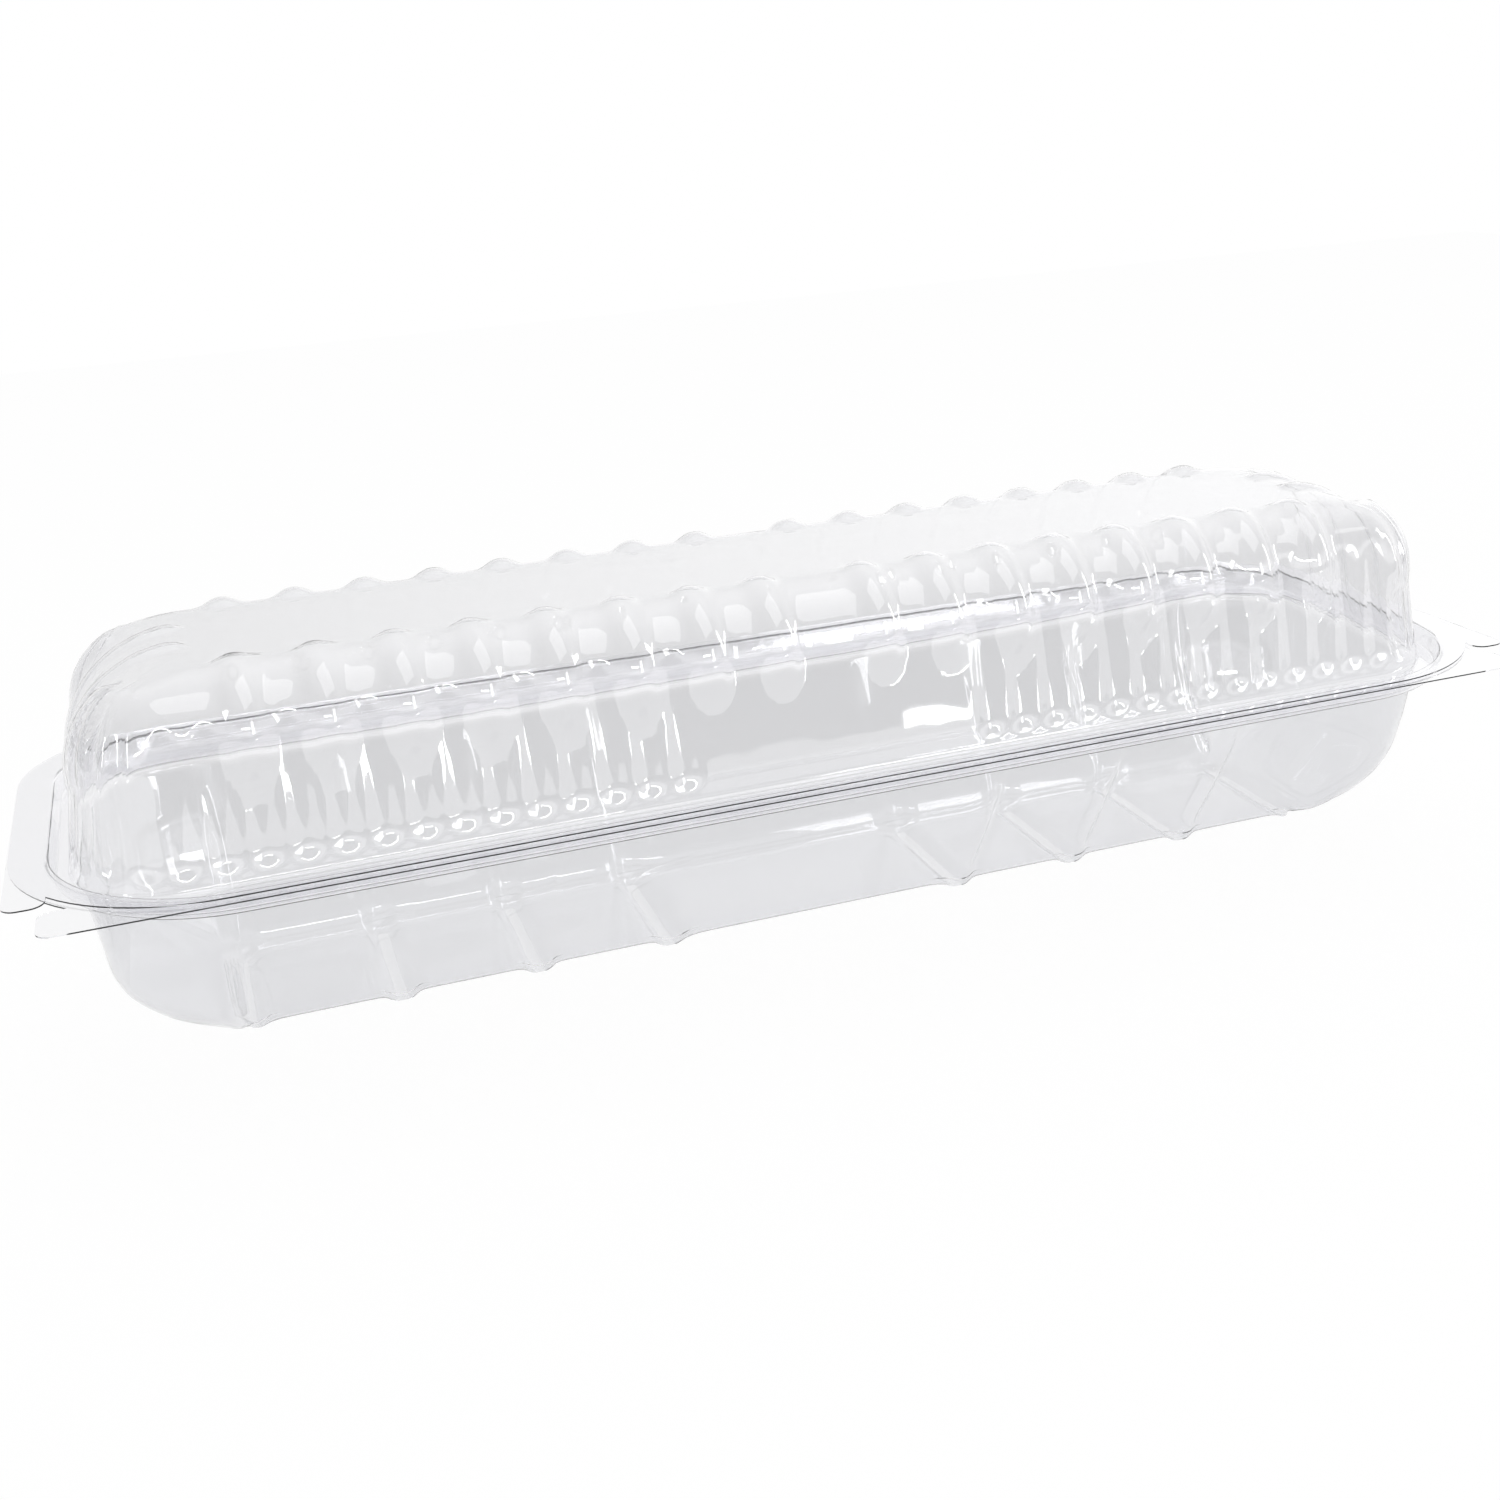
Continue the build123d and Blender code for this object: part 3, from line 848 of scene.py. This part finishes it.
def pale_paper():
    """Pale paper that takes shadows, glows where it is seen straight and less when mirrored."""
    paper = bpy.data.materials.new("pale_paper")
    paper.use_nodes = True
    tree = paper.node_tree
    surface = tree.nodes["Principled BSDF"]
    surface.inputs["Base Color"].default_value = PAPER
    surface.inputs["Roughness"].default_value = PAPER_ROUGHNESS
    glow = tree.nodes.new("ShaderNodeEmission")
    glow.inputs["Color"].default_value = WHITE
    glow.inputs["Strength"].default_value = 1.0
    path = tree.nodes.new("ShaderNodeLightPath").outputs
    mirrored = combine(tree, "MULTIPLY", path["Is Glossy Ray"], MIRRORED_GLOW)
    seen = combine(tree, "MAXIMUM", seen_straight(tree, path), mirrored)
    share = combine(tree, "MULTIPLY", seen, PAPER_GLOW)
    mix_surfaces(
        tree, share, surface.outputs["BSDF"], glow.outputs["Emission"], "Material Output"
    )
    return paper


def room_tone(tree):
    """The graded room: bright behind and overhead, dim in front but for a low band of light."""
    x, y, z = coordinates(tree, tree.nodes.new("ShaderNodeTexCoord").outputs["Generated"])
    skewed = combine(tree, "ADD", y, combine(tree, "MULTIPLY", x, BACK_SKEW))
    back = ramp(tree, skewed, *FRONT_TO_BACK)
    sideways = ramp(tree, x, *LEFT_TO_RIGHT)
    band = combine(tree, "MULTIPLY", faded(tree, z, BAND_BOTTOM), faded(tree, z, BAND_TOP))
    band = combine(tree, "MULTIPLY", band, faded(tree, y, BAND_FRONT))
    above = combine(tree, "ADD", ramp(tree, z, *OVERHEAD), band)
    return combine(tree, "ADD", above, combine(tree, "MULTIPLY", back, sideways))


def studio_room():
    """A room that is plain white where it is seen straight, and graded where it is mirrored."""
    world = bpy.data.worlds.new("studio")
    world.use_nodes = True
    tree = world.node_tree
    room = tree.nodes["Background"]
    tree.links.new(room_tone(tree), room.inputs["Color"])
    white = tree.nodes.new("ShaderNodeBackground")
    white.inputs["Color"].default_value = WHITE
    white.inputs["Strength"].default_value = 1.0
    straight = seen_straight(tree, tree.nodes.new("ShaderNodeLightPath").outputs)
    mix_surfaces(
        tree, straight, room.outputs["Background"], white.outputs["Background"], "World Output"
    )
    return world


bpy.ops.object.select_all(action="DESELECT")
bpy.ops.mesh.primitive_plane_add(size=FLOOR_SIZE, location=(0, 0, 0))
floor = bpy.context.active_object
floor.name = "floor"
floor.data.materials.append(pale_paper())
bpy.context.scene.world = studio_room()


# ---------------------------------------------------------------- lamps and camera

# bearing from the front towards the right and elevation, in degrees; then distance, width,
# height and power
SOFTBOXES = {
    "key_box": (32, 66, 1.6, 1.3, 1.3, 5.5),
    "front_strip": (-6, 17.5, 1.6, 0.9, 0.07, 3.0),
    "right_box": (25, 15, 1.6, 0.32, 0.5, 2.4),
    "low_strip": (27.5, -1.8, 0.9, 0.18, 0.012, 0.07),
    "left_strip": (-66, 16, 1.6, 0.12, 0.8, 2.4),
    "right_strip": (74, 16, 1.6, 0.14, 0.8, 2.4),
}
LAMPS_AIM = (0, 0, FLANGE_Z)

CAMERA_PLACE = (-0.1257, -0.3655, 0.135 + FLANGE_Z)
CAMERA_HEADING = -17.756
CAMERA_TILT = 90 - 20.70
CAMERA_ROLL = -3.50
CAMERA_LENS = 41.83
CAMERA_SENSOR = 36.0
CAMERA_NEAR = 0.01


def around_stand(bearing, elevation, distance):
    """A place round the container, from a bearing and an elevation in degrees."""
    turn = math.radians(bearing)
    rise = math.radians(elevation)
    return (
        distance * math.cos(rise) * math.sin(turn),
        -distance * math.cos(rise) * math.cos(turn),
        FLANGE_Z + distance * math.sin(rise),
    )


def softbox(name, bearing, elevation, distance, width, height, power):
    """A rectangular studio lamp aimed at the middle of the container."""
    data = bpy.data.lights.new(name, "AREA")
    data.shape = "RECTANGLE"
    data.size = width
    data.size_y = height
    data.energy = power
    lamp = bpy.data.objects.new(name, data)
    bpy.context.scene.collection.objects.link(lamp)
    place = around_stand(bearing, elevation, distance)
    lamp.location = place
    lamp.rotation_euler = (Vector(LAMPS_AIM) - Vector(place)).to_track_quat("-Z", "Y").to_euler()


for name, settings in SOFTBOXES.items():
    softbox(name, *settings)

camera_data = bpy.data.cameras.new("camera")
camera_data.sensor_width = CAMERA_SENSOR
camera_data.lens = CAMERA_LENS
camera_data.clip_start = CAMERA_NEAR
camera = bpy.data.objects.new("camera", camera_data)
bpy.context.scene.collection.objects.link(camera)
camera.matrix_world = (
    Matrix.Translation(CAMERA_PLACE)
    @ Matrix.Rotation(math.radians(CAMERA_HEADING), 4, "Z")
    @ Matrix.Rotation(math.radians(CAMERA_TILT), 4, "X")
    @ Matrix.Rotation(math.radians(CAMERA_ROLL), 4, "Z")
)
bpy.context.scene.camera = camera
bpy.context.scene.view_settings.view_transform = "Standard"

# clear sheets lie several deep, so light is followed through all of them
bpy.context.scene.cycles.max_bounces = 32
bpy.context.scene.cycles.glossy_bounces = 16
bpy.context.scene.cycles.transmission_bounces = 32
bpy.context.scene.cycles.transparent_max_bounces = 32
